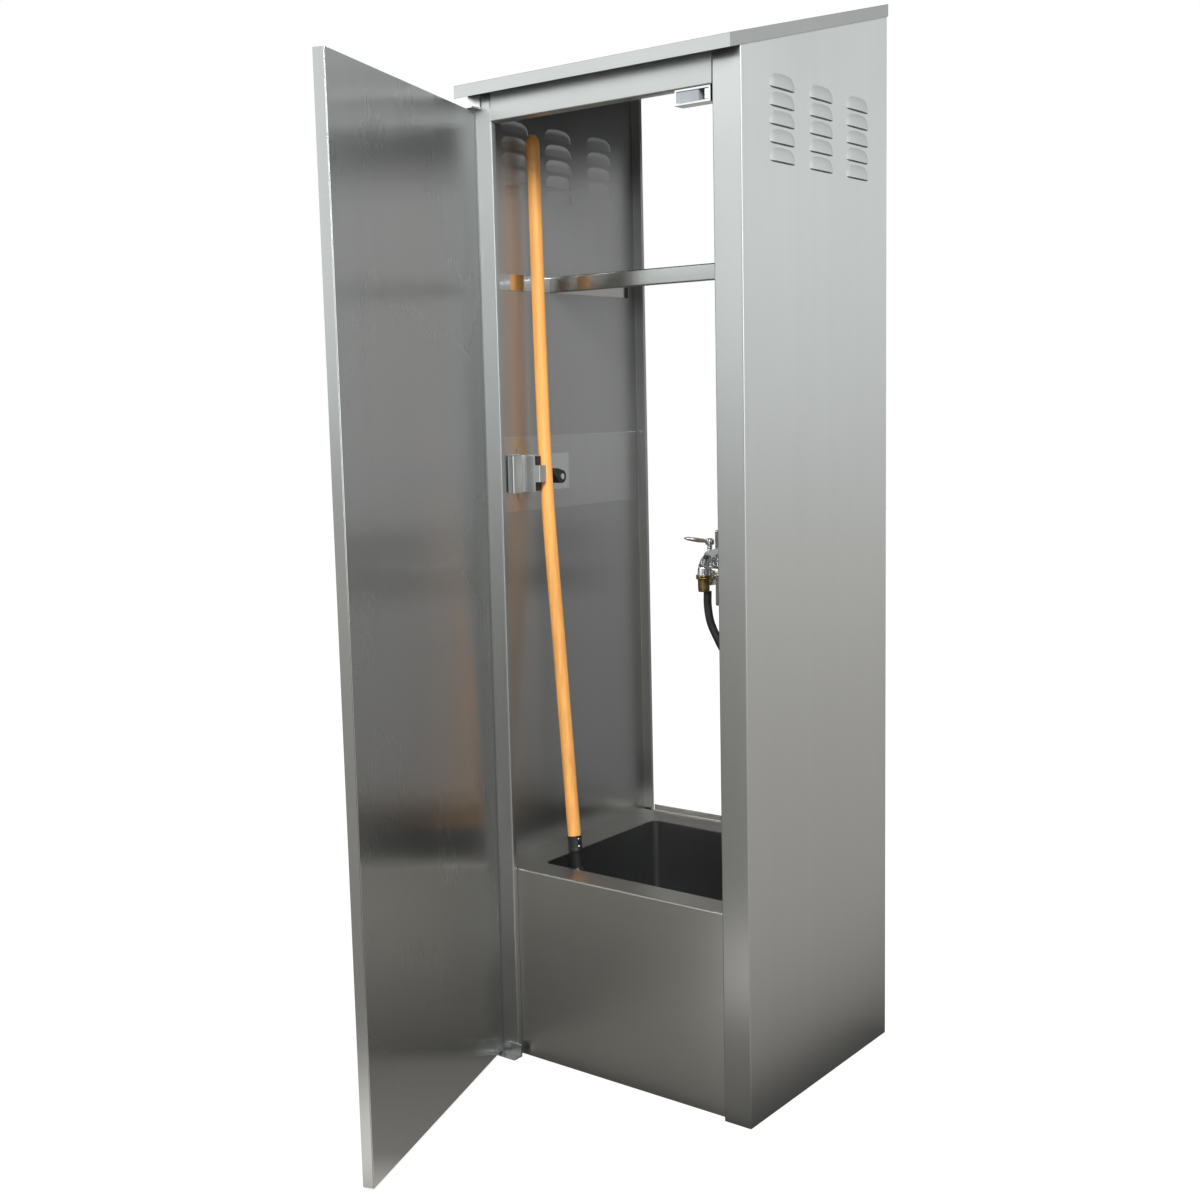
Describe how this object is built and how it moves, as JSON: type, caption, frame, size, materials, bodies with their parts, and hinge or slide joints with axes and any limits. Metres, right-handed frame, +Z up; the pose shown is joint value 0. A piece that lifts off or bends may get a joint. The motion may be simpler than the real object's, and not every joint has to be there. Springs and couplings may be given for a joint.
{
  "type": "mop service sink cabinet",
  "caption": "Full-height steel mop service cabinet with a sloped top, floor-level sink bowl, service faucet with hose, shelf, mop holder and hinged door.",
  "frame": {"origin": "on the floor, at the middle of the rear cross rail's foot flange", "axes": "+Z up, +X to the right of someone facing the door, +Y towards the wall behind"},
  "size_m": [0.651, 1.129, 2.134],
  "materials": {
    "brushed_steel": "brushed stainless sheet",
    "polished_steel": "polished stainless sheet",
    "chrome": "polished chrome",
    "brass": "dull brass",
    "rubber": "matt black rubber",
    "dark_plastic": "black moulded plastic",
    "grey_plastic": "grey moulded plastic",
    "pale_plastic": "off-white moulded plastic",
    "wood": "varnished wood"
  },
  "bodies": {
    "cabinet": {"side_panel_left": "brushed_steel", "side_panel_right": "brushed_steel", "top_cap": "brushed_steel", "header_rail": "brushed_steel", "rear_rail_bottom": "brushed_steel", "rear_rail_top": "brushed_steel", "shelf": "polished_steel", "shelf_rail_left": "polished_steel", "shelf_rail_right": "polished_steel", "sink_deck": "brushed_steel", "sink_bowl": "brushed_steel", "deck_bracket_left": "brushed_steel", "deck_bracket_right": "brushed_steel", "drain_body": "chrome", "drain_gasket": "rubber", "drain_nut": "brass", "tailpiece": "chrome", "tailpiece_nut": "brass", "hanger_band": "polished_steel", "holder_plate": "polished_steel", "holder_bracket": "polished_steel", "holder_retainer": "polished_steel", "holder_grip_block": "rubber", "holder_cam_pin": "chrome", "hinge_bracket_bottom": "polished_steel", "hinge_bracket_top": "polished_steel", "hinge_pin_bottom": "chrome", "hinge_pin_top": "chrome", "catch_frame": "polished_steel", "catch_magnet": "grey_plastic", "catch_bumper": "pale_plastic", "faucet_bracket": "brushed_steel", "faucet_body": "chrome", "faucet_spout": "chrome", "vacuum_breaker": "chrome", "inlet_flange_left": "chrome", "inlet_flange_right": "chrome", "bonnet_left": "chrome", "bonnet_right": "chrome", "spout_brace": "chrome", "hose_coupling": "brass", "hose": "rubber"},
    "door": {"door_pan": "brushed_steel", "door_liner": "brushed_steel", "door_stiffener": "brushed_steel", "door_bush_bottom": "brass", "door_bush_top": "brass"},
    "lever_left": {"lever_left": "chrome"},
    "lever_right": {"lever_right": "chrome"},
    "holder_cam": {"holder_cam": "rubber"},
    "mop": {"mop_handle": "wood", "mop_clamp": "dark_plastic"},
    "strainer": {"strainer_basket": "chrome"}
  },
  "joints": [
    {"name": "door_hinge", "type": "hinge", "parent": "cabinet", "child": "door", "pos_m": [-0.305, -0.546, 0.5], "axis": [0, 0, 1], "range_deg": [-45, 70.6]},
    {"name": "lever_left_turn", "type": "hinge", "parent": "cabinet", "child": "lever_left", "pos_m": [-0.0715, -0.0598, 1.04], "axis": [0, 0, 1], "range_deg": [0, 90]},
    {"name": "lever_right_turn", "type": "hinge", "parent": "cabinet", "child": "lever_right", "pos_m": [0.1315, -0.0598, 1.04], "axis": [0, 0, 1], "range_deg": [-90, 0]},
    {"name": "holder_cam_pivot", "type": "hinge", "parent": "cabinet", "child": "holder_cam", "pos_m": [-0.278, -0.32658, 1.20975], "axis": [1, 0, 0], "range_deg": [-55, 0]},
    {"name": "mop_lift_off", "type": "slide", "parent": "cabinet", "child": "mop", "axis": [1, 0, 0], "range_m": [0, 0.12]},
    {"name": "strainer_lift_off", "type": "slide", "parent": "cabinet", "child": "strainer", "axis": [0, 0, 1], "range_m": [0, 0.12]}
  ]
}
